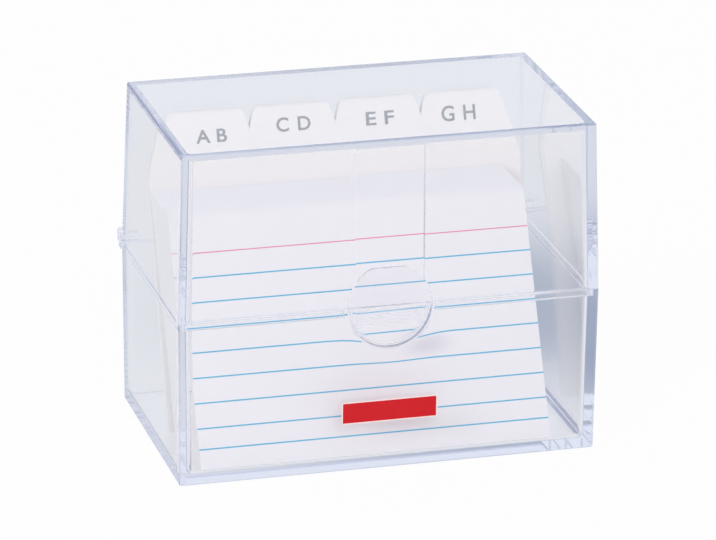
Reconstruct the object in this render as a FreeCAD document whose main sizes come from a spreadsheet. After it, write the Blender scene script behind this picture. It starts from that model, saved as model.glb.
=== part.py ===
"""Clear index card box with a hinged lid, ruled cards and tabbed alphabetical dividers.

A two-part moulded box stands on its floor: a tub and a lid of nearly the same height meet at
the parting line, where both are widest. The lid turns on two moulded pins in ears at the back
of the tub, and closes with a springy strap whose tongue hangs over a round thumb recess at the
front. A hundred ruled cards lean back in the tub, and twelve dividers stand behind them.

Frame: millimetres, +Z up, the front with its latch faces -Y, and the origin is the middle of
the bottom of the whole box, ears and grip ribs included.
"""
import FreeCAD, Part
import math
import os
import re

import Sketcher
from FreeCAD import Placement, Rotation, Vector

doc = FreeCAD.newDocument("index_card_box")

# Driving dimensions in millimetres, angles in degrees: alias, value, what it is
SIZES = [
    ("tub_height", 49.5, "floor to parting line"),
    ("wall", 2.5, "wall, floor and top of the moulded shells"),
    ("side_room", 15.0, "inside of the box at the parting line, wider than a card"),
    ("front_space", 2.2, "foot of the first card behind the front wall"),
    ("back_room", 0.452, "from the top of the last divider to the lid's back wall"),
    ("top_room", 8.565, "air between the tabs and the top of the lid"),
    ("tub_draft", 0.4, "mould taper of the tub's sides"),
    ("lid_draft", 1.7, "mould taper of the lid's sides"),
    ("corner_radius", 0.7, "upright outer corners"),
    ("foot_radius", 0.5, "edge between the tub's sides and its underside"),
    ("crown_radius", 0.8, "edge between the lid's sides and its top"),
    ("inner_radius", 2.0, "inner corners of both shells, and round the tub's floor"),
    ("lid_back_radius", 0.5, "inner corners at the back of the lid"),
    ("rim_gap", 0.15, "between the rims of the tub and the lid"),
    ("lip_drop", 2.0, "how far the lid's lip reaches down into the tub"),
    ("lip_thickness", 0.8, "the lid's lip"),
    ("lip_step", 0.1, "lip set back from the lid's inner face"),
    ("lip_clearance", 0.25, "between the lip and the tub's rebate"),
    ("lip_end", 8.0, "where the lip stops, from the back face"),
    ("latch_margin", 1.2, "rim left whole beside the thumb recess"),
    ("strap_width", 20.4, "springy strap in the lid's front"),
    ("strap_skin", 1.0, "thickness of the strap and its tongue"),
    ("tongue_drop", 5.6, "how far the tongue hangs below the parting line"),
    ("tongue_radius", 0.5, "lower corners of the tongue"),
    ("thumb_radius", 12.3, "round thumb recess and upstand"),
    ("thumb_depth", 1.5, "thumb recess in the tub's front"),
    ("thumb_rounding", 0.7, "rounded edges of the thumb recess"),
    ("upstand_root", 0.1, "upstand sunk into the tub's front wall"),
    ("upstand_rise", 11.3, "flat top of the upstand above the parting line"),
    ("upstand_thickness", 0.9, "round upstand behind the strap"),
    ("recess_clearance", 0.3, "lid's recess round the upstand"),
    ("catch_width", 12.0, "catch ridge and nib, along the front"),
    ("catch_rise", 0.6, "catch ridge and nib, up and down"),
    ("ridge_proud", 0.2, "catch ridge on the tub"),
    ("ridge_drop", 3.6, "foot of the ridge below the parting line"),
    ("nib_proud", 0.2, "nib on the back of the tongue"),
    ("nib_drop", 4.9, "foot of the nib below the parting line"),
    ("grip_width", 18.6, "grip ribs on the tongue"),
    ("grip_thickness", 0.3, "one grip rib, up and down"),
    ("grip_proud", 0.25, "grip rib in front of the tongue"),
    ("grip_pitch", 0.8, "from one grip rib to the next"),
    ("grip_drop", 3.7, "foot of the lowest grip rib below the parting line"),
    ("hinge_rise", 2.0, "hinge axis above the parting line"),
    ("ear_radius", 2.4, "rounded top of the tub's ears"),
    ("ear_thickness", 2.1, "ear along the hinge axis"),
    ("ear_inset", 1.3, "inner face of the ear, in from the box's side"),
    ("ear_foot", 1.3, "foot of the ear below the parting line"),
    ("hinge_gap", 0.3, "play between the lid and the ears"),
    ("pin_radius", 0.9, "hinge pin moulded on the lid"),
    ("pin_play", 0.06, "radial play of the pin in its ear"),
    ("pin_short", 0.3, "pin end inside the ear's outer face"),
    ("knuckle_radius", 1.6, "knuckle that carries the pin"),
    ("knuckle_length", 5.6, "knuckle along the hinge axis"),
    ("label_width", 28.7, "plain label on the front"),
    ("label_height", 6.9, "label, up and down"),
    ("label_thickness", 0.12, "label"),
    ("label_radius", 0.5, "label's corners"),
    ("label_rise", 17.9, "middle of the label above the floor line"),
    ("glue_gap", 0.02, "between label and tub"),
    ("card_width", 105.0, "ruled card, landscape"),
    ("card_height", 74.0, "ruled card, landscape"),
    ("card_thickness", 0.19, "one card"),
    ("card_gap", 0.01, "air between two cards"),
    ("card_lean", 25.4, "cards lean back from upright"),
    ("card_shift", -2.4, "middle of the cards from the middle of the box"),
    ("rest_gap", 0.1, "under the cards and dividers"),
    ("divider_body", 75.0, "divider without its tab"),
    ("tab_rise", 16.2, "tab above the divider"),
    ("tab_top", 22.6, "tab across its top, before the corners are rounded"),
    ("tab_foot", 32.3, "tab across its foot"),
    ("divider_room", 8.95, "inside of the box at the parting line, wider than a divider"),
    ("tab_radius", 2.2, "rounded corners of a tab"),
    ("divider_thickness", 0.2, "one divider"),
    ("divider_gap", 0.02, "air between two dividers"),
    ("divider_lean", 19.5, "dividers lean back from upright"),
    ("divider_shift", 0.5, "middle of the dividers from the middle of the box"),
    ("lean_gap", 0.15, "between the last card's top edge and the first divider"),
]

# An edge is straight if the line between its ends is at least this share of its length
STRAIGHT_SHARE = 0.999999

# Counts
PACKS = 11
CARDS_IN_PACK = 9
GRIP_RIBS = 5
TAB_COUNT = 4
DIVIDERS = ["ab", "cd", "ef", "gh", "ij", "kl", "mn", "op", "qr", "st", "uv", "wz"]

sheet = doc.addObject("Spreadsheet::Sheet", "sizes")
for row, (alias, number, meaning) in enumerate(SIZES, start=1):
    sheet.set("A%d" % row, alias)
    sheet.set("B%d" % row, str(number))
    sheet.setAlias("B%d" % row, alias)
    sheet.set("C%d" % row, meaning)
doc.recompute()

ALIASES = {alias for alias, number, meaning in SIZES}

# The stack in the box, front to back, measured from the foot of the first card
LAST_CARD = PACKS * CARDS_IN_PACK
CARD_PITCH = "((card_thickness + card_gap) / cos(card_lean))"
CARD_FOOT = "(wall + rest_gap + card_thickness * sin(card_lean))"
LAST_CARD_REACH = "(%d * %s + card_height * sin(card_lean) + card_thickness * cos(card_lean))" % (
    LAST_CARD, CARD_PITCH)
LAST_CARD_TOP = "(%s + card_height * cos(card_lean) - card_thickness * sin(card_lean))" % CARD_FOOT
DIVIDER_PITCH = "((divider_thickness + divider_gap) / cos(divider_lean))"
DIVIDER_FOOT = "(wall + rest_gap + divider_thickness * sin(divider_lean))"
DIVIDER_TOP = "(%s + (divider_body + tab_rise) * cos(divider_lean))" % DIVIDER_FOOT
FIRST_DIVIDER_REACH = "(%s - (%s - %s) * tan(divider_lean) + lean_gap / cos(divider_lean))" % (
    LAST_CARD_REACH, LAST_CARD_TOP, DIVIDER_FOOT)
STACK_REACH = "(%s + %d * %s + (divider_body + tab_rise) * sin(divider_lean))" % (
    FIRST_DIVIDER_REACH, len(DIVIDERS), DIVIDER_PITCH)

# The box is made round its contents; its width and depth are taken at the parting line
WIDTH = "(card_width + side_room + 2 * wall)"
DEPTH = "(2 * wall + front_space + %s + (%s - tub_height) * tan(lid_draft) + back_room)" % (
    STACK_REACH, DIVIDER_TOP)
LID_HEIGHT = "(%s + top_room + wall - tub_height)" % DIVIDER_TOP
DIVIDER_WIDTH = "(card_width + side_room - divider_room)"
TAB_PITCH = "((%s - tab_foot) / %d)" % (DIVIDER_WIDTH, TAB_COUNT - 1)

# Places that several pieces share
HALF_WIDTH = "(%s / 2)" % WIDTH
HALF_DEPTH = "(%s / 2)" % DEPTH
BOX_MIDDLE = "(ear_radius - grip_proud) / 2"
LID_FOOT = "(tub_height + rim_gap)"
REBATE_X = "(%s - wall + lip_step + lip_thickness + lip_clearance)" % HALF_WIDTH
REBATE_Y = "(%s - wall + lip_step + lip_thickness + lip_clearance)" % HALF_DEPTH
LATCH_HALF = "(thumb_radius + latch_margin)"
AXIS_Y = HALF_DEPTH
AXIS_Z = "(tub_height + hinge_rise)"
EAR_X = "(%s - ear_inset)" % HALF_WIDTH
NOTCH_X = "(%s - ear_inset - hinge_gap)" % HALF_WIDTH
FIRST_CARD_Y = "(wall + front_space - %s)" % HALF_DEPTH
FIRST_DIVIDER_Y = "(%s + %s)" % (FIRST_CARD_Y, FIRST_DIVIDER_REACH)


def bound(expression):
    """The expression with every size pointed at the sheet."""
    return re.sub(r"[a-z_]+", lambda word: ("sizes." if word[0] in ALIASES else "") + word[0], expression)


def value(expression):
    """What an expression of the sizes comes to now."""
    result = sheet.evalExpression(re.sub(r"\bsizes\.", "", bound(expression)))
    return float(getattr(result, "Value", result))


def make_body(label):
    """A body that stands in the frame whose origin is the middle of the whole box."""
    body = doc.addObject("PartDesign::Body", label)
    body.Label = label
    body.setExpression("Placement.Base.y", bound("-" + BOX_MIDDLE))
    return body


def make_sketch(body, name, plane, height):
    """An empty sketch on one of the body's own planes, moved along that plane's normal."""
    sketch = body.newObject("Sketcher::SketchObject", name)
    planes = [feature for feature in body.Origin.OriginFeatures if feature.Role == plane]
    sketch.AttachmentSupport = [(planes[0], "")]
    sketch.MapMode = "FlatFace"
    sketch.setExpression("AttachmentOffset.Base.z", bound(height))
    return sketch


def pin_point(sketch, geometry, point, across, up):
    """Holds one point of a sketch at a place given by two expressions."""
    for kind, expression in (("DistanceX", across), ("DistanceY", up)):
        index = sketch.addConstraint(
            Sketcher.Constraint(kind, -1, 1, geometry, point, value(expression)))
        sketch.setExpression("Constraints[%d]" % index, bound(expression))


def outline(body, name, plane, points, height="0"):
    """A closed outline of straight lines through points given by pairs of expressions."""
    sketch = make_sketch(body, name, plane, height)
    corners = [Vector(value(across), value(up), 0) for across, up in points]
    count = len(corners)
    for index in range(count):
        sketch.addGeometry(Part.LineSegment(corners[index], corners[(index + 1) % count]))
    for index in range(count):
        sketch.addConstraint(Sketcher.Constraint("Coincident", index, 2, (index + 1) % count, 1))
    for index, (across, up) in enumerate(points):
        pin_point(sketch, index, 1, across, up)
    return sketch


def rectangle(body, name, plane, left, right, low, high, height="0"):
    """A rectangle between four expressions."""
    return outline(body, name, plane, [(left, low), (right, low), (right, high), (left, high)], height)


def circle(body, name, plane, across, up, radius, height="0"):
    """A circle with its centre and radius given by expressions."""
    sketch = make_sketch(body, name, plane, height)
    centre = Vector(value(across), value(up), 0)
    sketch.addGeometry(Part.Circle(centre, Vector(0, 0, 1), value(radius)))
    pin_point(sketch, 0, 3, across, up)
    index = sketch.addConstraint(Sketcher.Constraint("Radius", 0, value(radius)))
    sketch.setExpression("Constraints[%d]" % index, bound(radius))
    return sketch


def flat_disc(body, name, up, radius, rise, height):
    """A disc that is cut flat at a height above its centre, seen from the front."""
    sketch = make_sketch(body, name, "XZ_Plane", height)
    centre = Vector(0, value(up), 0)
    shoulder = math.asin(value(rise) / value(radius))
    round_edge = Part.Circle(centre, Vector(0, 0, 1), value(radius))
    arc = Part.ArcOfCircle(round_edge, math.pi - shoulder, 2 * math.pi + shoulder)
    sketch.addGeometry(arc)
    sketch.addGeometry(Part.LineSegment(arc.EndPoint, arc.StartPoint))
    sketch.addConstraint(Sketcher.Constraint("Coincident", 0, 2, 1, 1))
    sketch.addConstraint(Sketcher.Constraint("Coincident", 1, 2, 0, 1))
    sketch.addConstraint(Sketcher.Constraint("Horizontal", 1))
    pin_point(sketch, 0, 3, "0", up)
    index = sketch.addConstraint(Sketcher.Constraint("Radius", 0, value(radius)))
    sketch.setExpression("Constraints[%d]" % index, bound(radius))
    top = "%s + %s" % (up, rise)
    index = sketch.addConstraint(Sketcher.Constraint("DistanceY", -1, 1, 1, 1, value(top)))
    sketch.setExpression("Constraints[%d]" % index, bound(top))
    return sketch


def add_length(body, kind, name, sketch, length, backwards, both_ways):
    """A pad or pocket of a sketch; backwards turns it round, both_ways centres it on the sketch."""
    feature = body.newObject("PartDesign::" + kind, name)
    feature.Profile = sketch
    feature.setExpression("Length", bound(length))
    feature.Reversed = backwards
    feature.Midplane = both_ways
    sketch.Visibility = False
    doc.recompute()
    return feature


def pad(body, name, sketch, length, backwards=False, both_ways=False):
    return add_length(body, "Pad", name, sketch, length, backwards, both_ways)


def pocket(body, name, sketch, length, backwards=False, both_ways=False):
    before = body.Shape.Volume
    feature = add_length(body, "Pocket", name, sketch, length, backwards, both_ways)
    if not body.Shape.Volume < before:
        raise RuntimeError("%s cuts nothing" % name)
    return feature


def mirror_sides(body, name, originals):
    """Repeats features on the other side of the box."""
    feature = body.newObject("PartDesign::Mirrored", name)
    feature.Originals = originals
    planes = [plane for plane in body.Origin.OriginFeatures if plane.Role == "YZ_Plane"]
    feature.MirrorPlane = (planes[0], [""])
    body.Tip = feature
    doc.recompute()
    return feature


def face_names(feature, wanted):
    """Names of the faces whose centre and outward normal are wanted."""
    names = []
    for index, face in enumerate(feature.Shape.Faces, start=1):
        low_u, high_u, low_v, high_v = face.ParameterRange
        normal = face.normalAt((low_u + high_u) / 2, (low_v + high_v) / 2)
        if wanted(face.CenterOfMass, normal):
            names.append("Face%d" % index)
    return names


def edge_names(feature, wanted):
    """Names of the straight edges whose middle and direction are wanted."""
    names = []
    for index, edge in enumerate(feature.Shape.Edges, start=1):
        along = edge.Vertexes[-1].Point - edge.Vertexes[0].Point
        if along.Length > STRAIGHT_SHARE * edge.Length:
            along.normalize()
            if wanted(edge.CenterOfMass, along):
                names.append("Edge%d" % index)
    return names


def draft_sides(body, name, base, neutral_up, angle):
    """Tapers the four sides from the rim, which keeps its size."""
    sides = face_names(base, lambda centre, normal: abs(normal.z) < 0.5)
    rim = face_names(base, lambda centre, normal: normal.z * neutral_up > 0.5)
    feature = body.newObject("PartDesign::Draft", name)
    feature.Base = (base, sides)
    feature.NeutralPlane = (base, rim)
    feature.setExpression("Angle", bound(angle))
    feature.Reversed = neutral_up > 0
    doc.recompute()
    return feature


def hollow(body, name, base, open_up):
    """Leaves walls and a floor, open towards the rim."""
    rim = face_names(base, lambda centre, normal: normal.z * open_up > 0.5)
    feature = body.newObject("PartDesign::Thickness", name)
    feature.Base = (base, rim)
    feature.setExpression("Value", bound("wall"))
    feature.Reversed = True
    feature.Join = "Intersection"
    doc.recompute()
    return feature


def fillet(body, name, base, edges, radius):
    """Rounds the named edges."""
    feature = body.newObject("PartDesign::Fillet", name)
    feature.Base = (base, edges)
    feature.setExpression("Radius", bound(radius))
    doc.recompute()
    return feature


def is_upright(along):
    return abs(along.z) > 0.9


def make_shell(body, name, foot, height, neutral_up, draft, back_radius):
    """A tapered block from the given foot, hollowed from its rim and rounded at its corners."""
    base = rectangle(body, name + "_plan", "XY_Plane", "-" + HALF_WIDTH, HALF_WIDTH,
                     "-" + HALF_DEPTH, HALF_DEPTH, foot)
    block = pad(body, name + "_block", base, height)
    tapered = draft_sides(body, name + "_taper", block, neutral_up, draft)
    shell = hollow(body, name + "_shell", tapered, neutral_up)
    outer_x = value(HALF_WIDTH + " - wall")
    outer = edge_names(shell, lambda middle, along: is_upright(along) and abs(middle.x) > outer_x)
    rounded = fillet(body, name + "_corners", shell, outer, "corner_radius")
    front = edge_names(rounded, lambda middle, along: is_upright(along) and is_inside(middle) and middle.y < 0)
    rounded = fillet(body, name + "_front_corners", rounded, front, "inner_radius")
    back = edge_names(rounded, lambda middle, along: is_upright(along) and is_inside(middle) and middle.y > 0)
    return fillet(body, name + "_back_corners", rounded, back, back_radius)


def is_inside(middle):
    """Whether a point lies on the inner face of a side wall, near a corner."""
    clear_x = value(HALF_WIDTH + " - wall / 2")
    clear_y = value(HALF_DEPTH + " - wall / 2")
    return abs(middle.x) < clear_x and abs(middle.y) < clear_y


def rim_edges(feature, level):
    """Names of the edges round the closed end of a shell, at the given height."""
    names = []
    for index, edge in enumerate(feature.Shape.Edges, start=1):
        box = edge.BoundBox
        if max(abs(box.ZMin - level), abs(box.ZMax - level)) < value("lip_step"):
            names.append("Edge%d" % index)
    return names


def build_tub():
    """The lower half: floor, tapered walls, rebated rim, thumb recess and hinge ears."""
    body = make_body("tub")
    shell = make_shell(body, "tub", "0", "tub_height", 1, "tub_draft", "inner_radius")
    shell = fillet(body, "tub_floor_edge", shell, rim_edges(shell, value("wall")), "inner_radius")
    fillet(body, "tub_foot", shell, rim_edges(shell, 0), "foot_radius")

    # The rebate takes the lid's lip along the front and sides, but not beside the latch
    back_end = HALF_DEPTH + " - lip_end + lip_clearance"
    inside_y = "2 * wall - " + HALF_DEPTH
    rebate = outline(body, "rebate_plan", "XY_Plane", [
        ("-" + REBATE_X, back_end),
        ("-" + REBATE_X, "-" + REBATE_Y),
        ("-" + LATCH_HALF, "-" + REBATE_Y),
        ("-" + LATCH_HALF, inside_y),
        (LATCH_HALF, inside_y),
        (LATCH_HALF, "-" + REBATE_Y),
        (REBATE_X, "-" + REBATE_Y),
        (REBATE_X, back_end),
    ], "tub_height")
    pocket(body, "rebate", rebate, "lip_drop + lip_clearance")

    # A round upstand rises behind the strap, and its lower half backs the thumb recess
    disc = flat_disc(body, "upstand_round", "tub_height", "thumb_radius", "upstand_rise",
                     HALF_DEPTH + " - wall + upstand_root")
    pad(body, "upstand", disc, "upstand_thickness", backwards=True)
    thumb = circle(body, "thumb_round", "XZ_Plane", "0", "tub_height", "thumb_radius", HALF_DEPTH)
    recess = pocket(body, "thumb_recess", thumb, "thumb_depth")
    round_thumb_recess(body, recess)
    ridge = rectangle(body, "ridge_face", "XZ_Plane", "-catch_width / 2", "catch_width / 2",
                      "tub_height - ridge_drop", "tub_height - ridge_drop + catch_rise",
                      HALF_DEPTH + " - thumb_depth")
    pad(body, "ridge", ridge, "ridge_proud")

    # Ears at the back corners hold the lid's pins
    foot = outline(body, "ear_foot_side", "YZ_Plane", [
        (AXIS_Y + " - ear_radius", AXIS_Z),
        (AXIS_Y + " - ear_radius", "tub_height - ear_foot"),
        (AXIS_Y, "tub_height - ear_foot"),
        (AXIS_Y + " + ear_radius", AXIS_Z),
    ], EAR_X)
    ear_foot = pad(body, "ear_foot", foot, "ear_thickness")
    top = circle(body, "ear_top_side", "YZ_Plane", AXIS_Y, AXIS_Z, "ear_radius", EAR_X)
    ear_top = pad(body, "ear_top", top, "ear_thickness")
    hole = circle(body, "ear_hole_side", "YZ_Plane", AXIS_Y, AXIS_Z, "pin_radius + pin_play", EAR_X)
    ear_hole = pocket(body, "ear_hole", hole, "ear_thickness", backwards=True)
    mirror_sides(body, "ears", [ear_foot, ear_top, ear_hole])
    return body


def round_thumb_recess(body, recess):
    """Rounds the edge of the thumb recess in the front face, and the corner round its floor."""
    names = []
    behind = value("wall - upstand_root / 2 - " + HALF_DEPTH)
    for index, edge in enumerate(recess.Shape.Edges, start=1):
        box = edge.BoundBox
        is_round = box.XLength > value("thumb_radius") and box.ZLength > value("thumb_radius / 2")
        if is_round and box.YMax < behind:
            names.append("Edge%d" % index)
    return fillet(body, "thumb_edge", recess, names, "thumb_rounding")


def build_lid():
    """The upper half, closed: top, tapered walls, lip, latch strap and hinge pins."""
    body = make_body("lid")
    shell = make_shell(body, "lid", LID_FOOT, LID_HEIGHT + " - rim_gap", -1, "lid_draft", "lid_back_radius")
    fillet(body, "lid_crown", shell, rim_edges(shell, value("tub_height + " + LID_HEIGHT)), "crown_radius")

    # Two strips of lip reach down into the tub, one on each side of the latch
    lip_x = "(" + REBATE_X + " - lip_clearance)"
    lip_y = "(" + REBATE_Y + " - lip_clearance)"
    lip_gap = "(" + LATCH_HALF + " + lip_clearance)"
    inner_x = HALF_WIDTH + " - wall + lip_step"
    inner_y = "wall - lip_step - " + HALF_DEPTH
    strip = outline(body, "lip_plan", "XY_Plane", [
        (lip_x, HALF_DEPTH + " - lip_end"),
        (lip_x, "-" + lip_y),
        (lip_gap, "-" + lip_y),
        (lip_gap, inner_y),
        (inner_x, inner_y),
        (inner_x, HALF_DEPTH + " - lip_end"),
    ], LID_FOOT)
    lip = pad(body, "lip", strip, "lip_drop + rim_gap", backwards=True)
    mirror_sides(body, "lips", [lip])

    # The strap is the front wall thinned from inside; its groove follows the wall's taper
    groove_top = "(%s - wall)" % LID_HEIGHT
    groove = outline(body, "strap_side", "YZ_Plane", [
        ("strap_skin - " + HALF_DEPTH, "tub_height"),
        ("2 * wall - " + HALF_DEPTH, "tub_height"),
        ("2 * wall - " + HALF_DEPTH, "tub_height + " + groove_top),
        ("strap_skin - " + HALF_DEPTH + " + " + groove_top + " * tan(lid_draft)", "tub_height + " + groove_top),
    ])
    pocket(body, "strap_groove", groove, "strap_width", both_ways=True)
    arch = flat_disc(body, "arch_round", "tub_height", "thumb_radius + recess_clearance",
                     "upstand_rise + recess_clearance", HALF_DEPTH + " - strap_skin")
    pocket(body, "arch_recess", arch, "wall")
    add_tongue(body)

    # The back corners are notched for the tub's ears, and knuckles beside them carry the pins
    notch_radius = "(ear_radius + hinge_gap)"
    foot = rectangle(body, "notch_foot_side", "YZ_Plane", AXIS_Y + " - " + notch_radius,
                     AXIS_Y + " + wall", "tub_height - wall", AXIS_Z, NOTCH_X)
    notch_foot = pocket(body, "notch_foot", foot, "2 * wall", backwards=True)
    top = circle(body, "notch_top_side", "YZ_Plane", AXIS_Y, AXIS_Z, notch_radius, NOTCH_X)
    notch_top = pocket(body, "notch_top", top, "2 * wall", backwards=True)
    barrel = circle(body, "knuckle_side", "YZ_Plane", AXIS_Y, AXIS_Z, "knuckle_radius",
                    NOTCH_X + " - knuckle_length")
    knuckle = pad(body, "knuckle", barrel, "knuckle_length")
    stub = circle(body, "pin_side", "YZ_Plane", AXIS_Y, AXIS_Z, "pin_radius", NOTCH_X)
    pin = pad(body, "pin", stub, "hinge_gap + ear_thickness - pin_short")
    mirror_sides(body, "hinge", [notch_foot, notch_top, knuckle, pin])
    return body


def add_tongue(body):
    """The strap's tongue below the parting line, with grip ribs in front and a nib behind."""
    face = rectangle(body, "tongue_face", "XZ_Plane", "-strap_width / 2", "strap_width / 2",
                     "tub_height - tongue_drop", LID_FOOT, HALF_DEPTH)
    tongue = pad(body, "tongue", face, "strap_skin", backwards=True)
    low = value("tub_height - tongue_drop")
    corners = edge_names(tongue, lambda middle, along: abs(along.y) > 0.9
                         and abs(middle.z - low) < value("lip_step"))
    fillet(body, "tongue_corners", tongue, corners, "tongue_radius")
    nib = rectangle(body, "nib_face", "XZ_Plane", "-catch_width / 2", "catch_width / 2",
                    "tub_height - nib_drop", "tub_height - nib_drop + catch_rise",
                    HALF_DEPTH + " - strap_skin")
    pad(body, "nib", nib, "nib_proud", backwards=True)
    rib = rectangle(body, "grip_face", "XZ_Plane", "-grip_width / 2", "grip_width / 2",
                    "tub_height - grip_drop", "tub_height - grip_drop + grip_thickness", HALF_DEPTH)
    first = pad(body, "grip_rib", rib, "grip_proud")
    ribs = body.newObject("PartDesign::LinearPattern", "grip_ribs")
    ribs.Originals = [first]
    axes = [axis for axis in body.Origin.OriginFeatures if axis.Role == "Z_Axis"]
    ribs.Direction = (axes[0], [""])
    ribs.Mode = "Spacing"
    ribs.Occurrences = GRIP_RIBS
    ribs.setExpression("Offset", bound("grip_pitch"))
    body.Tip = ribs
    doc.recompute()


def build_label():
    """A plain adhesive label that lies on the tub's tapered front face."""
    plate = doc.addObject("Part::Box", "label_plate")
    plate.setExpression("Length", bound("label_width"))
    plate.setExpression("Width", bound("label_thickness"))
    plate.setExpression("Height", bound("label_height"))
    doc.recompute()
    corners = []
    for index, edge in enumerate(plate.Shape.Edges, start=1):
        if edge.BoundBox.YLength > value("label_thickness / 2"):
            corners.append((index, value("label_radius"), value("label_radius")))
    label = doc.addObject("Part::Fillet", "front_label")
    label.Base = plate
    label.Edges = corners
    label.Label = "front_label"
    label.Placement = Placement(Vector(0, 0, 0), Rotation(Vector(1, 0, 0), value("tub_draft")))
    low = "(label_rise - label_height / 2)"
    label.setExpression("Placement.Base.x", bound("-label_width / 2"))
    label.setExpression("Placement.Base.y", bound(
        "(tub_height - %s) * tan(tub_draft) - %s - label_thickness - glue_gap - %s" % (
            low, HALF_DEPTH, BOX_MIDDLE)))
    label.setExpression("Placement.Base.z", bound(low))
    plate.Visibility = False
    return label


def lean_back(piece, angle, across, back, up):
    """Stands a piece on its front lower edge, leaning back from upright."""
    piece.Placement = Placement(Vector(0, 0, 0), Rotation(Vector(-1, 0, 0), value(angle)))
    piece.setExpression("Placement.Rotation.Angle", bound(angle))
    piece.setExpression("Placement.Base.x", bound(across))
    piece.setExpression("Placement.Base.y", bound("%s - %s" % (back, BOX_MIDDLE)))
    piece.setExpression("Placement.Base.z", bound(up))


def build_card(number):
    """One leaning card, counted from the front."""
    card = doc.addObject("Part::Box", "card_%03d" % number)
    card.setExpression("Length", bound("card_width"))
    card.setExpression("Width", bound("card_thickness"))
    card.setExpression("Height", bound("card_height"))
    lean_back(card, "card_lean", "card_shift - card_width / 2",
              "%s + %d * %s" % (FIRST_CARD_Y, number, CARD_PITCH), CARD_FOOT)
    return card


def build_pack(pack):
    """A pack of loose cards behind the first card."""
    first = 1 + pack * CARDS_IN_PACK
    cards = [build_card(number) for number in range(first, first + CARDS_IN_PACK)]
    group = doc.addObject("Part::Compound", "card_pack_%02d" % (pack + 1))
    group.Label = group.Name
    group.Links = cards
    return group


def build_divider(number, letters):
    """A divider with its tab in one of the four places."""
    body = doc.addObject("PartDesign::Body", "divider_" + letters)
    body.Label = "divider_" + letters
    centre = "(%d * %s + tab_foot / 2 - %s / 2)" % (number % TAB_COUNT, TAB_PITCH, DIVIDER_WIDTH)
    tab_high = "divider_body + tab_rise"
    points = [("-%s / 2" % DIVIDER_WIDTH, "0"), ("%s / 2" % DIVIDER_WIDTH, "0")]
    if number % TAB_COUNT < TAB_COUNT - 1:
        points.append(("%s / 2" % DIVIDER_WIDTH, "divider_body"))
    points += [
        (centre + " + tab_foot / 2", "divider_body"),
        (centre + " + tab_top / 2", tab_high),
        (centre + " - tab_top / 2", tab_high),
        (centre + " - tab_foot / 2", "divider_body"),
    ]
    if number % TAB_COUNT > 0:
        points.append(("-%s / 2" % DIVIDER_WIDTH, "divider_body"))
    face = outline(body, "divider_%s_face" % letters, "XZ_Plane", points)
    plate = pad(body, "divider_%s_plate" % letters, face, "divider_thickness", backwards=True)
    high = value(tab_high)
    corners = edge_names(plate, lambda middle, along: abs(along.y) > 0.9
                         and abs(middle.z - high) < value("divider_thickness"))
    fillet(body, "divider_%s_tab" % letters, plate, corners, "tab_radius")
    lean_back(body, "divider_lean", "divider_shift",
              "%s + %d * %s" % (FIRST_DIVIDER_Y, number, DIVIDER_PITCH), DIVIDER_FOOT)
    return body


def check_document():
    """Stops if any object failed to build."""
    for item in doc.Objects:
        if "Invalid" in item.State or "Error" in item.State:
            raise RuntimeError("%s failed: %s" % (item.Name, item.State))


def write_part(piece, solids):
    """Writes one sub-part, once its shape is sound and has as many solids as it should."""
    shape = piece.Shape
    if shape.isNull() or not shape.isValid() or len(shape.Solids) != solids:
        raise RuntimeError("%s has no sound shape" % piece.Label)
    shape.exportStep(os.path.join("parts", piece.Label + ".step"))
    print("%-14s %3d solids %12.2f mm3" % (piece.Label, len(shape.Solids), shape.Volume))


pieces = [(build_tub(), 1), (build_lid(), 1), (build_label(), 1)]
front_card = build_card(0)
front_card.Label = "front_card"
pieces.append((front_card, 1))
pieces += [(build_pack(pack), CARDS_IN_PACK) for pack in range(PACKS)]
pieces += [(build_divider(number, letters), 1) for number, letters in enumerate(DIVIDERS)]
doc.recompute()
check_document()
os.makedirs("parts", exist_ok=True)
for piece, solids in pieces:
    write_part(piece, solids)
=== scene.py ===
"""Clear index card box: moulded plastic tub and hinged lid, ruled cards and lettered dividers."""
import math

import bmesh
import bpy
from mathutils import Matrix, Vector


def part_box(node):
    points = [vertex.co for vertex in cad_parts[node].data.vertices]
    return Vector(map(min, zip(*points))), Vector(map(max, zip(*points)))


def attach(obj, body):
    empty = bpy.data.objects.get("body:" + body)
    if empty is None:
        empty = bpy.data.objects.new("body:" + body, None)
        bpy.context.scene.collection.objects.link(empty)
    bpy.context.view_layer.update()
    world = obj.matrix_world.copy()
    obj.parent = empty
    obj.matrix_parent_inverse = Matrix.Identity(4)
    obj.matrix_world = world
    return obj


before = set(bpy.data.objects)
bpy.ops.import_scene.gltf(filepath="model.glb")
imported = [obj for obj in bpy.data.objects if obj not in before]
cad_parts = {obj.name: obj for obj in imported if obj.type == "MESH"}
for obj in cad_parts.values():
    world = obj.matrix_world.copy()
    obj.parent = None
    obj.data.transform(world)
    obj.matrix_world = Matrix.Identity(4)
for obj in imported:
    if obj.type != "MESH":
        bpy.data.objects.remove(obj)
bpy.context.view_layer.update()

MM = 0.001

# Places taken from the solids
CARD_LEAN = math.radians(25.4)
DIVIDER_LEAN = math.radians(19.5)
CARD_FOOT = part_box("front_card")[0][2]
LABEL_LOW, LABEL_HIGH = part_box("front_label")
RIM_HEIGHT = 49.5 * MM

# Contents of the box, front to back
PACKS = ["card_pack_%02d" % number for number in range(1, 12)]
LETTER_PAIRS = ["ab", "cd", "ef", "gh", "ij", "kl", "mn", "op", "qr", "st", "uv", "wz"]

# Printed lines on a card in millimetres: heights along it from its lower edge, and half their widths
RED_LINE = 62.9
RED_HALF = 0.16
BLUE_LINES = [55.8, 48.6, 41.4, 34.2, 26.9, 19.6, 12.3, 6.3]
BLUE_HALF = 0.20

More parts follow.
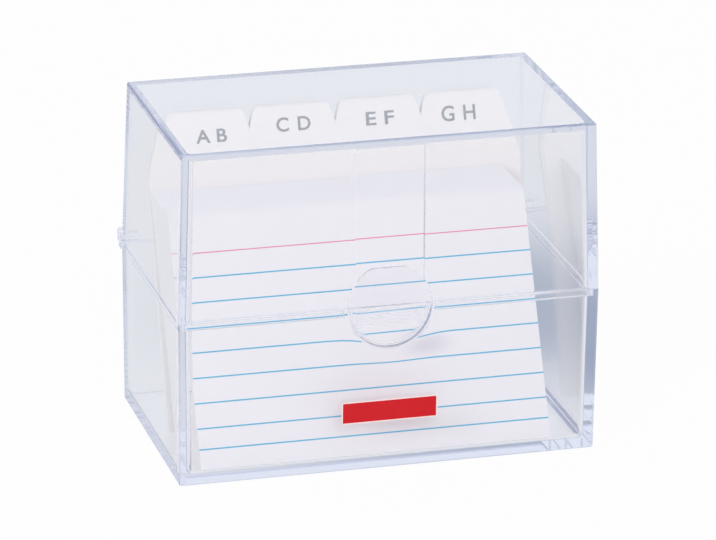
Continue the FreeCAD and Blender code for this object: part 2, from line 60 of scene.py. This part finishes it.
# Painted shadow of the latch on the cards: its middle, its reach to the sides and along the card
SHADE_ACROSS = 15.5 * MM
SHADE_ALONG = 31.0
SHADE_REACH_ACROSS = 11.0 * MM
SHADE_REACH_ALONG = 5.0
SHADE_STRENGTH = 0.85

# Print on the tabs in millimetres, not quite alike on every tab: letter size, stretch and pitch,
# and the pair's place from the tab's middle, across and up
PLAIN_PRINT = (5.8, 1.0, 6.1, 0.2, 0.0)
PRINTS = {
    "ab": (5.5, 1.1, 5.5, 1.7, -1.0),
    "cd": (5.8, 1.0, 6.5, 0.2, 0.6),
    "ef": (5.6, 1.3, 5.6, 0.4, 0.3),
    "gh": (6.4, 0.95, 6.6, -1.4, -0.1),
}
LETTER_WEIGHT = 0.10 * MM

# Tabs along a divider, the print's height up it, and its front lower edge above its rear one
TABS_ACROSS = 4
TAB_FOOT = 32.3 * MM
TAB_PITCH = 26.25 * MM
PRINT_RISE = 84.6 * MM
FOOT_LIFT = 0.0668 * MM
PRINT_PROUD = 0.006 * MM

# How deep behind the tub's front face the dish counts, and the latch, beside which the rim is rolled
FRONT_DEPTH = 2.0 * MM
LATCH_DEPTH = 5.0 * MM

# Soft shape of the moulding at the latch: the bend of the thumb recess's floor, and the swell around
# it, which ends just above the tub's rim
DISH_RADIUS = 12.3 * MM
DISH_BEND = 100.0 * MM
SWELL_WIDTH = 9.0 * MM
SWELL_SLOPE = 0.12
SWELL_TOP = RIM_HEIGHT + 0.1 * MM

# Dull ring inside the recess's edge: its middle, its full and faded half widths, and its roughness
RING_INSET = 0.6 * MM
RING_FULL = 0.5 * MM
RING_FADED = 1.2 * MM
RING_ROUGHNESS = 0.24

# Rolled rims at the parting line: middle above the tub's rim, half width, and slope at the joint
ROLL_MIDDLE = 0.07 * MM
ROLL_WIDTH = 0.6 * MM
ROLL_SLOPE = 0.5

# Share of a face's direction that points to the front or back, for a wall and for a card's broad side
WALL_FACING = 0.5
CARD_FACING = 0.6

# Painted shadow of the box on the floor behind it, which only the clear walls show: its middle and its reach
# in metres
FLOOR_SHADE = (0.05, 0.09, 0.0)
FLOOR_SHADE_CORE = 0.02
FLOOR_SHADE_REACH = 0.11

# Share of the floor's own light, through the clear walls and seen directly
FLOOR_THROUGH = 0.8
FLOOR_DIRECT = 0.95

# Camera solved from the box's corners: its place, angles in degrees and focal length
CAMERA_PLACE = (-0.365565, -1.316425, 0.548329)
CAMERA_TURN = -15.538
CAMERA_TILT = 90 - 20.129
CAMERA_ROLL = 0.5756
CAMERA_LENS = 249.73

# Light bends and mirrors many times inside the walls' edges
WALL_BOUNCES = 192
CLEAR_LAYERS = 64


def add_node(tree, kind, settings=None, inputs=None):
    """A shader node with its settings, and inputs given as values or as sockets to link."""
    node = tree.nodes.new(kind)
    for name, value in (settings or {}).items():
        setattr(node, name, value)
    for name, value in (inputs or {}).items():
        if isinstance(value, bpy.types.NodeSocket):
            tree.links.new(value, node.inputs[name])
        else:
            node.inputs[name].default_value = value
    return node


def math_node(tree, operation, first, second=0.0, third=0.0, clamp=False):
    """The result of a sum on values or sockets."""
    node = add_node(tree, "ShaderNodeMath", {"operation": operation, "use_clamp": clamp},
                    {0: first, 1: second, 2: third})
    return node.outputs[0]


def distance_node(tree, across, up):
    """How far a point lies from the middle, by its distances across and up."""
    squares = [math_node(tree, "POWER", side, 2.0) for side in (across, up)]
    return math_node(tree, "SQRT", math_node(tree, "ADD", squares[0], squares[1]))


def mix_colour(tree, share, first, second):
    """Two colours mixed by a share."""
    node = add_node(tree, "ShaderNodeMix", {"data_type": "RGBA"}, {0: share, 6: first, 7: second})
    return node.outputs[2]


def clear_rays(tree, rays):
    """One for rays that a clear wall has bent or mirrored."""
    return math_node(tree, "ADD", rays.outputs["Is Glossy Ray"],
                     rays.outputs["Is Transmission Ray"], clamp=True)


def new_group(name, inputs, outputs):
    """An empty shader group with float inputs and outputs of the given kinds."""
    group = bpy.data.node_groups.new(name, "ShaderNodeTree")
    for socket_name, value in inputs:
        socket = group.interface.new_socket(socket_name, in_out="INPUT", socket_type="NodeSocketFloat")
        socket.default_value = value
    for socket_name in outputs:
        group.interface.new_socket(socket_name, in_out="OUTPUT", socket_type="NodeSocketFloat")
    return group


def new_material(name):
    """A material with nothing but its output."""
    material = bpy.data.materials.new(name)
    material.use_nodes = True
    material.node_tree.nodes.clear()
    return material, material.node_tree


def finish_material(tree, shader, volume=None):
    """Joins a material's shader, and what fills the piece, to its output."""
    output = tree.nodes.new("ShaderNodeOutputMaterial")
    tree.links.new(shader, output.inputs["Surface"])
    if volume:
        tree.links.new(volume, output.inputs["Volume"])


def paper_fibre_group():
    """Fibres of card stock: a faint mottle and the height of its surface."""
    group = new_group("paper fibre", [("Scale", 1.0)], ["Mottle", "Height"])
    entry = group.nodes.new("NodeGroupInput")
    place = group.nodes.new("ShaderNodeTexCoord").outputs["Object"]
    cloud = add_node(group, "ShaderNodeTexNoise", None, {
        "Vector": place, "Scale": math_node(group, "MULTIPLY", entry.outputs["Scale"], 90.0),
        "Detail": 3.0, "Roughness": 0.6})
    fibre = add_node(group, "ShaderNodeTexNoise", None, {
        "Vector": place, "Scale": math_node(group, "MULTIPLY", entry.outputs["Scale"], 1400.0),
        "Detail": 4.0, "Roughness": 0.7})
    leave = group.nodes.new("NodeGroupOutput")
    group.links.new(cloud.outputs["Fac"], leave.inputs["Mottle"])
    group.links.new(fibre.outputs["Fac"], leave.inputs["Height"])
    return group


def handling_group():
    """Wear of polished plastic: patches of haze and fine hairline scratches."""
    group = new_group("handling marks", [("Haze", 0.02), ("Scratches", 0.1)], ["Roughness", "Height"])
    entry = group.nodes.new("NodeGroupInput")
    place = group.nodes.new("ShaderNodeTexCoord").outputs["Object"]
    patches = add_node(group, "ShaderNodeTexNoise", None, {
        "Vector": place, "Scale": 38.0, "Detail": 3.0, "Roughness": 0.55})
    haze = add_node(group, "ShaderNodeMapRange", None, {
        "Value": patches.outputs["Fac"], "From Min": 0.45, "From Max": 0.75, "To Min": 0.0, "To Max": 1.0})
    turned = add_node(group, "ShaderNodeMapping", None, {
        "Vector": place, "Rotation": (0.5, 0.9, 0.4), "Scale": (900.0, 40.0, 60.0)})
    lines = add_node(group, "ShaderNodeTexNoise", None, {
        "Vector": turned.outputs["Vector"], "Scale": 1.0, "Detail": 2.0})
    hairline = add_node(group, "ShaderNodeMapRange", None, {
        "Value": lines.outputs["Fac"], "From Min": 0.68, "From Max": 0.74, "To Min": 0.0, "To Max": 1.0})
    hazed = math_node(group, "MULTIPLY", haze.outputs["Result"], entry.outputs["Haze"])
    marked = math_node(group, "MULTIPLY", hairline.outputs["Result"], entry.outputs["Scratches"])
    rough = math_node(group, "ADD", hazed, marked)
    swell = add_node(group, "ShaderNodeTexNoise", None, {"Vector": place, "Scale": 22.0, "Detail": 1.0})
    leave = group.nodes.new("NodeGroupOutput")
    group.links.new(rough, leave.inputs["Roughness"])
    group.links.new(swell.outputs["Fac"], leave.inputs["Height"])
    return group


def latch_dish_group():
    """The tub's front at its thumb recess: a shallow dish with a swell round it, and a dull edge."""
    group = new_group("latch dish", [], ["Height", "Roughness"])
    place = group.nodes.new("ShaderNodeTexCoord").outputs["Object"]
    parts = add_node(group, "ShaderNodeSeparateXYZ", None, {0: place})
    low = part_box("tub")[0]
    rise = math_node(group, "SUBTRACT", parts.outputs["Z"], RIM_HEIGHT)
    away = distance_node(group, parts.outputs["X"], rise)
    inside = math_node(group, "LESS_THAN", away, DISH_RADIUS)
    dish = math_node(group, "MULTIPLY", math_node(group, "POWER", away, 2.0), 0.5 / DISH_BEND)
    beyond = math_node(group, "SUBTRACT", away, DISH_RADIUS)
    left = math_node(group, "SUBTRACT", 1.0, math_node(group, "DIVIDE", beyond, SWELL_WIDTH), clamp=True)
    swell = math_node(group, "MULTIPLY", math_node(group, "POWER", left, 3.0),
                      SWELL_SLOPE * SWELL_WIDTH / 3)
    below = math_node(group, "LESS_THAN", parts.outputs["Z"], SWELL_TOP)
    outside = math_node(group, "MULTIPLY", math_node(group, "SUBTRACT", 1.0, inside), below)
    height = math_node(group, "ADD", math_node(group, "MULTIPLY", dish, inside),
                       math_node(group, "MULTIPLY", swell, outside))
    front = math_node(group, "LESS_THAN", parts.outputs["Y"], low[1] + FRONT_DEPTH)
    ring = add_node(group, "ShaderNodeMapRange", {"interpolation_type": "SMOOTHSTEP"}, {
        "Value": math_node(group, "ABSOLUTE", math_node(group, "ADD", beyond, RING_INSET)),
        "From Min": RING_FULL, "From Max": RING_FADED, "To Min": RING_ROUGHNESS, "To Max": 0.0})
    leave = group.nodes.new("NodeGroupOutput")
    group.links.new(math_node(group, "MULTIPLY", height, front), leave.inputs["Height"])
    group.links.new(math_node(group, "MULTIPLY", ring.outputs["Result"], front), leave.inputs["Roughness"])
    return group


def rolled_rim_group():
    """Height of the walls beside the parting line, falling off as at a softly rolled rim."""
    group = new_group("rolled rim", [], ["Height"])
    place = group.nodes.new("ShaderNodeTexCoord")
    parts = add_node(group, "ShaderNodeSeparateXYZ", None, {0: place.outputs["Object"]})
    facing = add_node(group, "ShaderNodeSeparateXYZ", None, {0: place.outputs["Normal"]})
    turned = math_node(group, "ABSOLUTE", facing.outputs["Y"])
    upright = math_node(group, "GREATER_THAN", turned, WALL_FACING)
    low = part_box("tub")[0]
    aside = math_node(group, "ABSOLUTE", parts.outputs["X"])
    latch = math_node(group, "MULTIPLY",
                      math_node(group, "LESS_THAN", aside, DISH_RADIUS),
                      math_node(group, "LESS_THAN", parts.outputs["Y"], low[1] + LATCH_DEPTH))
    rolled = math_node(group, "MULTIPLY", upright, math_node(group, "SUBTRACT", 1.0, latch))
    above = math_node(group, "SUBTRACT", parts.outputs["Z"], RIM_HEIGHT + ROLL_MIDDLE)
    apart = math_node(group, "ABSOLUTE", above)
    left = math_node(group, "MAXIMUM", math_node(group, "SUBTRACT", ROLL_WIDTH, apart), 0.0)
    fall = math_node(group, "MULTIPLY", math_node(group, "POWER", left, 2.0), -0.5 * ROLL_SLOPE / ROLL_WIDTH)
    leave = group.nodes.new("NodeGroupOutput")
    group.links.new(math_node(group, "MULTIPLY", fall, rolled), leave.inputs["Height"])
    return group


def clear_plastic(name, marks, shapes):
    """Crystal polystyrene: water clear, with a cool tint that deepens along its edges.

    Light on its way to and from the cards passes straight through with a faint loss, so that they
    are lit alike under an open and a closed lid. Views and glints meet the real walls.
    """
    material, tree = new_material(name)
    wear = add_node(tree, "ShaderNodeGroup", {"node_tree": marks}, {"Haze": 0.03, "Scratches": 0.06})
    bump = add_node(tree, "ShaderNodeBump", None, {
        "Strength": 0.12, "Distance": 0.00004, "Height": wear.outputs["Height"]})
    roughness = wear.outputs["Roughness"]
    for shape in shapes:
        moulded = add_node(tree, "ShaderNodeGroup", {"node_tree": shape})
        if "Roughness" in moulded.outputs:
            roughness = math_node(tree, "ADD", roughness, moulded.outputs["Roughness"])
        bump = add_node(tree, "ShaderNodeBump", None, {
            "Strength": 1.0, "Distance": 1.0, "Height": moulded.outputs["Height"],
            "Normal": bump.outputs["Normal"]})
    plastic = add_node(tree, "ShaderNodeBsdfPrincipled", None, {
        "Base Color": (0.98, 0.98, 0.99, 1.0), "Roughness": roughness, "IOR": 1.59,
        "Transmission Weight": 1.0, "Normal": bump.outputs["Normal"]})
    straight = add_node(tree, "ShaderNodeBsdfTransparent", None, {"Color": (0.985, 0.982, 0.985, 1.0)})
    rays = tree.nodes.new("ShaderNodeLightPath")
    passing = math_node(tree, "ADD", rays.outputs["Is Shadow Ray"],
                        rays.outputs["Is Diffuse Ray"], clamp=True)
    surface = add_node(tree, "ShaderNodeMixShader", None, {
        0: passing, 1: plastic.outputs[0], 2: straight.outputs[0]})
    depth = add_node(tree, "ShaderNodeVolumeAbsorption", None, {
        "Color": (0.62, 0.67, 0.84, 1.0), "Density": 5.0})
    finish_material(tree, surface.outputs[0], depth.outputs[0])
    return material


def card_material(fibre):
    """White index card with a red head line, blue rules and a painted shadow under the latch."""
    material, tree = new_material("ruled card")
    place = tree.nodes.new("ShaderNodeTexCoord")
    parts = add_node(tree, "ShaderNodeSeparateXYZ", None, {0: place.outputs["Object"]})
    facing = add_node(tree, "ShaderNodeSeparateXYZ", None, {0: place.outputs["Normal"]})
    turned = math_node(tree, "ABSOLUTE", facing.outputs["Y"])
    broad = math_node(tree, "GREATER_THAN", turned, CARD_FACING)
    rise = math_node(tree, "SUBTRACT", parts.outputs["Z"], CARD_FOOT)
    along = math_node(tree, "MULTIPLY", rise, 1.0 / (MM * math.cos(CARD_LEAN)))
    grain = add_node(tree, "ShaderNodeGroup", {"node_tree": fibre}, {"Scale": 1.0})
    red = math_node(tree, "COMPARE", along, RED_LINE, RED_HALF)
    blue = 0.0
    for height in BLUE_LINES:
        blue = math_node(tree, "ADD", math_node(tree, "COMPARE", along, height, BLUE_HALF), blue)
    paper = mix_colour(tree, grain.outputs["Mottle"], (0.863, 0.874, 0.913, 1.0), (0.888, 0.899, 0.94, 1.0))
    # Painted shadow of the latch: the paper darkens towards blue-grey around this middle
    aside = math_node(tree, "SUBTRACT", parts.outputs["X"], SHADE_ACROSS)
    above = math_node(tree, "SUBTRACT", along, SHADE_ALONG)
    apart = distance_node(tree, math_node(tree, "DIVIDE", aside, SHADE_REACH_ACROSS),
                          math_node(tree, "DIVIDE", above, SHADE_REACH_ALONG))
    shade = add_node(tree, "ShaderNodeMapRange", {"interpolation_type": "SMOOTHSTEP"}, {
        "Value": apart, "From Min": 0.0, "From Max": 1.0, "To Min": SHADE_STRENGTH, "To Max": 0.0})
    paper = mix_colour(tree, shade.outputs["Result"], paper, (0.68, 0.69, 0.76, 1.0))
    ink = mix_colour(tree, math_node(tree, "MULTIPLY", blue, broad), paper, (0.05, 0.46, 0.74, 1.0))
    ink = mix_colour(tree, math_node(tree, "MULTIPLY", red, broad), ink, (0.80, 0.19, 0.39, 1.0))
    bump = add_node(tree, "ShaderNodeBump", None, {
        "Strength": 0.25, "Distance": 0.00002, "Height": grain.outputs["Height"]})
    shader = add_node(tree, "ShaderNodeBsdfPrincipled", None, {
        "Base Color": ink, "Roughness": 0.75, "Specular IOR Level": 0.25, "Normal": bump.outputs["Normal"]})
    finish_material(tree, shader.outputs[0])
    return material


def divider_material(fibre):
    """Smooth white divider board."""
    material, tree = new_material("divider board")
    grain = add_node(tree, "ShaderNodeGroup", {"node_tree": fibre}, {"Scale": 0.8})
    board = mix_colour(tree, grain.outputs["Mottle"], (0.90, 0.895, 0.895, 1.0), (0.92, 0.915, 0.915, 1.0))
    bump = add_node(tree, "ShaderNodeBump", None, {
        "Strength": 0.2, "Distance": 0.00002, "Height": grain.outputs["Height"]})
    shader = add_node(tree, "ShaderNodeBsdfPrincipled", None, {
        "Base Color": board, "Roughness": 0.6, "Specular IOR Level": 0.35, "Normal": bump.outputs["Normal"]})
    finish_material(tree, shader.outputs[0])
    return material


def printing_ink(fibre):
    """Grey ink of the letters, thinned a little by the board's fibres."""
    material, tree = new_material("grey ink")
    grain = add_node(tree, "ShaderNodeGroup", {"node_tree": fibre}, {"Scale": 1.5})
    colour = mix_colour(tree, grain.outputs["Mottle"], (0.10, 0.115, 0.14, 1.0), (0.16, 0.175, 0.21, 1.0))
    shader = add_node(tree, "ShaderNodeBsdfPrincipled", None, {
        "Base Color": colour, "Roughness": 0.55, "Specular IOR Level": 0.3})
    finish_material(tree, shader.outputs[0])
    return material


def label_material(fibre):
    """Plain red label with a pale border."""
    material, tree = new_material("red label")
    place = tree.nodes.new("ShaderNodeTexCoord")
    parts = add_node(tree, "ShaderNodeSeparateXYZ", None, {0: place.outputs["Object"]})
    middle_z = (LABEL_LOW[2] + LABEL_HIGH[2]) / 2
    half_x = (LABEL_HIGH[0] - LABEL_LOW[0]) / 2
    half_z = (LABEL_HIGH[2] - LABEL_LOW[2]) / 2
    border = 0.4 * MM
    aside = math_node(tree, "ABSOLUTE", parts.outputs["X"])
    above = math_node(tree, "ABSOLUTE", math_node(tree, "SUBTRACT", parts.outputs["Z"], middle_z))
    in_x = math_node(tree, "LESS_THAN", aside, half_x - border)
    in_z = math_node(tree, "LESS_THAN", above, half_z - border)
    inside = math_node(tree, "MULTIPLY", in_x, in_z)
    grain = add_node(tree, "ShaderNodeGroup", {"node_tree": fibre}, {"Scale": 1.0})
    red = mix_colour(tree, grain.outputs["Mottle"], (0.60, 0.008, 0.016, 1.0), (0.66, 0.014, 0.022, 1.0))
    colour = mix_colour(tree, inside, (0.92, 0.78, 0.78, 1.0), red)
    shader = add_node(tree, "ShaderNodeBsdfPrincipled", None, {
        "Base Color": colour, "Roughness": 0.5, "Specular IOR Level": 0.2})
    finish_material(tree, shader.outputs[0])
    return material


def dress(node_name, material):
    """Gives a solid of the frame its finish."""
    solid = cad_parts[node_name]
    solid.data.materials.clear()
    solid.data.materials.append(material)


def letters_piece(pair, number, ink):
    """Two printed capitals on the front of a divider's tab."""
    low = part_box("divider_" + pair)[0]
    size, stretch, pitch, across, up = PRINTS.get(pair, PLAIN_PRINT)
    build = bmesh.new()
    for step, capital in zip((-0.5, 0.5), pair.upper()):
        curve = bpy.data.curves.new("capital", "FONT")
        curve.body = capital
        curve.align_x = "CENTER"
        curve.align_y = "CENTER"
        curve.size = size * MM
        curve.offset = LETTER_WEIGHT
        writing = bpy.data.objects.new("writing", curve)
        bpy.context.collection.objects.link(writing)
        bpy.context.view_layer.update()
        shape = bpy.data.meshes.new_from_object(writing)
        aside = Matrix.Translation((step * pitch * MM, 0, 0))
        shape.transform(aside @ Matrix.Scale(stretch, 4, (1, 0, 0)))
        build.from_mesh(shape)
        bpy.data.objects.remove(writing)
    mesh = bpy.data.meshes.new("letters_" + pair)
    build.to_mesh(mesh)
    build.free()
    tab_centre = low[0] + TAB_FOOT / 2 + (number % TABS_ACROSS) * TAB_PITCH
    foot = Matrix.Translation((tab_centre + across * MM, low[1], low[2] + FOOT_LIFT))
    lean = Matrix.Rotation(math.pi / 2 - DIVIDER_LEAN, 4, "X")
    mesh.transform(foot @ lean @ Matrix.Translation((0, PRINT_RISE + up * MM, PRINT_PROUD)))
    piece = bpy.data.objects.new("letters_" + pair, mesh)
    bpy.context.collection.objects.link(piece)
    mesh.materials.append(ink)
    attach(piece, "divider_" + pair)


def studio_world():
    """White surroundings, which clear walls and edges show as bluer towards the horizon."""
    world = bpy.data.worlds.new("studio")
    bpy.context.scene.world = world
    world.use_nodes = True
    tree = world.node_tree
    tree.nodes.clear()
    rays = tree.nodes.new("ShaderNodeLightPath")
    direction = tree.nodes.new("ShaderNodeTexCoord").outputs["Generated"]
    parts = add_node(tree, "ShaderNodeSeparateXYZ", None, {0: direction})
    overhead = add_node(tree, "ShaderNodeMapRange", {"interpolation_type": "SMOOTHSTEP"}, {
        "Value": parts.outputs["Z"], "From Min": 0.2, "From Max": 0.65, "To Min": 0.0, "To Max": 1.0})
    level = add_node(tree, "ShaderNodeMapRange", {"interpolation_type": "SMOOTHSTEP"}, {
        "Value": parts.outputs["Z"], "From Min": 0.02, "From Max": 0.16, "To Min": 0.0, "To Max": 1.0})
    side = mix_colour(tree, level.outputs["Result"], (0.52, 0.60, 0.80, 1.0), (0.88, 0.91, 0.97, 1.0))
    seen = mix_colour(tree, overhead.outputs["Result"], side, (0.86, 0.90, 0.99, 1.0))
    colour = mix_colour(tree, clear_rays(tree, rays), (0.67, 0.65, 0.66, 1.0), seen)
    colour = mix_colour(tree, rays.outputs["Is Camera Ray"], colour, (1.0, 1.0, 1.0, 1.0))
    background = add_node(tree, "ShaderNodeBackground", None, {"Color": colour, "Strength": 1.0})
    output = tree.nodes.new("ShaderNodeOutputWorld")
    tree.links.new(background.outputs[0], output.inputs["Surface"])


def studio_floor():
    """A pale floor that shows as white, but for the box's soft shadow and a painted shadow behind the box
    seen through it.
    """
    mesh = bpy.data.meshes.new("floor")
    build = bmesh.new()
    bmesh.ops.create_grid(build, x_segments=1, y_segments=1, size=3.0)
    bmesh.ops.translate(build, verts=build.verts, vec=(0, 0, -0.3 * MM))
    build.to_mesh(mesh)
    build.free()
    floor = bpy.data.objects.new("floor", mesh)
    bpy.context.collection.objects.link(floor)
    material, tree = new_material("pale floor")
    rays = tree.nodes.new("ShaderNodeLightPath")
    clear = clear_rays(tree, rays)
    pale = mix_colour(tree, clear, (0.90, 0.89, 0.88, 1.0), (0.70, 0.72, 0.76, 1.0))
    plain = add_node(tree, "ShaderNodeBsdfDiffuse", None, {"Color": pale})
    # Painted shadow of the box: the floor's tone darkens to blue around a spot behind it, for rays through
    # the clear walls
    spot = tree.nodes.new("ShaderNodeTexCoord").outputs["Object"]
    apart = add_node(tree, "ShaderNodeVectorMath", {"operation": "DISTANCE"}, {0: spot, 1: FLOOR_SHADE})
    behind = add_node(tree, "ShaderNodeMapRange", {"interpolation_type": "SMOOTHSTEP"}, {
        "Value": apart.outputs["Value"], "From Min": FLOOR_SHADE_CORE, "From Max": FLOOR_SHADE_REACH,
        "To Min": 1.0, "To Max": 0.0})
    tone = mix_colour(tree, behind.outputs["Result"], (0.84, 0.86, 0.90, 1.0), (0.32, 0.39, 0.52, 1.0))
    tone = mix_colour(tree, rays.outputs["Is Camera Ray"], tone, (1.0, 1.0, 1.0, 1.0))
    white = add_node(tree, "ShaderNodeEmission", None, {"Color": tone, "Strength": 1.0})
    through = math_node(tree, "MULTIPLY", clear, FLOOR_THROUGH)
    direct = math_node(tree, "MULTIPLY", rays.outputs["Is Camera Ray"], FLOOR_DIRECT)
    share = math_node(tree, "MAXIMUM", through, direct)
    shader = add_node(tree, "ShaderNodeMixShader", None, {0: share, 1: plain.outputs[0], 2: white.outputs[0]})
    finish_material(tree, shader.outputs[0])
    mesh.materials.append(material)


def lamp(name, power, size, place, aim):
    """A soft square lamp that clear walls don't show."""
    data = bpy.data.lights.new(name, "AREA")
    data.energy = power
    data.size = size
    light = bpy.data.objects.new(name, data)
    light.location = place
    light.rotation_euler = (Vector(aim) - Vector(place)).to_track_quat("-Z", "Y").to_euler()
    light.visible_glossy = False
    light.visible_transmission = False
    bpy.context.collection.objects.link(light)


def photo_camera():
    """The photograph's viewpoint."""
    data = bpy.data.cameras.new("camera")
    data.sensor_width = 36.0
    data.lens = CAMERA_LENS
    data.clip_end = 20.0
    camera = bpy.data.objects.new("camera", data)
    turn = Matrix.Rotation(math.radians(CAMERA_TURN), 4, "Z")
    tilt = Matrix.Rotation(math.radians(CAMERA_TILT), 4, "X")
    roll = Matrix.Rotation(math.radians(CAMERA_ROLL), 4, "Z")
    camera.matrix_world = Matrix.Translation(CAMERA_PLACE) @ turn @ tilt @ roll
    bpy.context.collection.objects.link(camera)
    bpy.context.scene.camera = camera


fibre = paper_fibre_group()
marks = handling_group()
rim = rolled_rim_group()
card = card_material(fibre)
board = divider_material(fibre)
ink = printing_ink(fibre)
dress("tub", clear_plastic("clear polystyrene tub", marks, [rim, latch_dish_group()]))
dress("lid", clear_plastic("clear polystyrene lid", marks, [rim]))
for cards in ["front_card"] + PACKS:
    dress(cards, card)
dress("front_label", label_material(fibre))
for number, pair in enumerate(LETTER_PAIRS):
    dress("divider_" + pair, board)
    letters_piece(pair, number, ink)

photo_camera()
studio_world()
studio_floor()
lamp("key", 10.2, 0.8, (-1.7, -0.9, 1.05), (0, 0, 0.05))
lamp("front", 7.2, 1.0, (-0.2, -1.65, 0.85), (0, 0, 0.03))
lamp("back", 2.3, 0.9, (-0.5, 1.4, 1.2), (0, 0, 0.05))

scene = bpy.context.scene
scene.view_settings.view_transform = "Standard"
scene.cycles.max_bounces = WALL_BOUNCES
scene.cycles.transmission_bounces = WALL_BOUNCES
scene.cycles.glossy_bounces = WALL_BOUNCES
scene.cycles.transparent_max_bounces = CLEAR_LAYERS

bpy.context.view_layer.update()
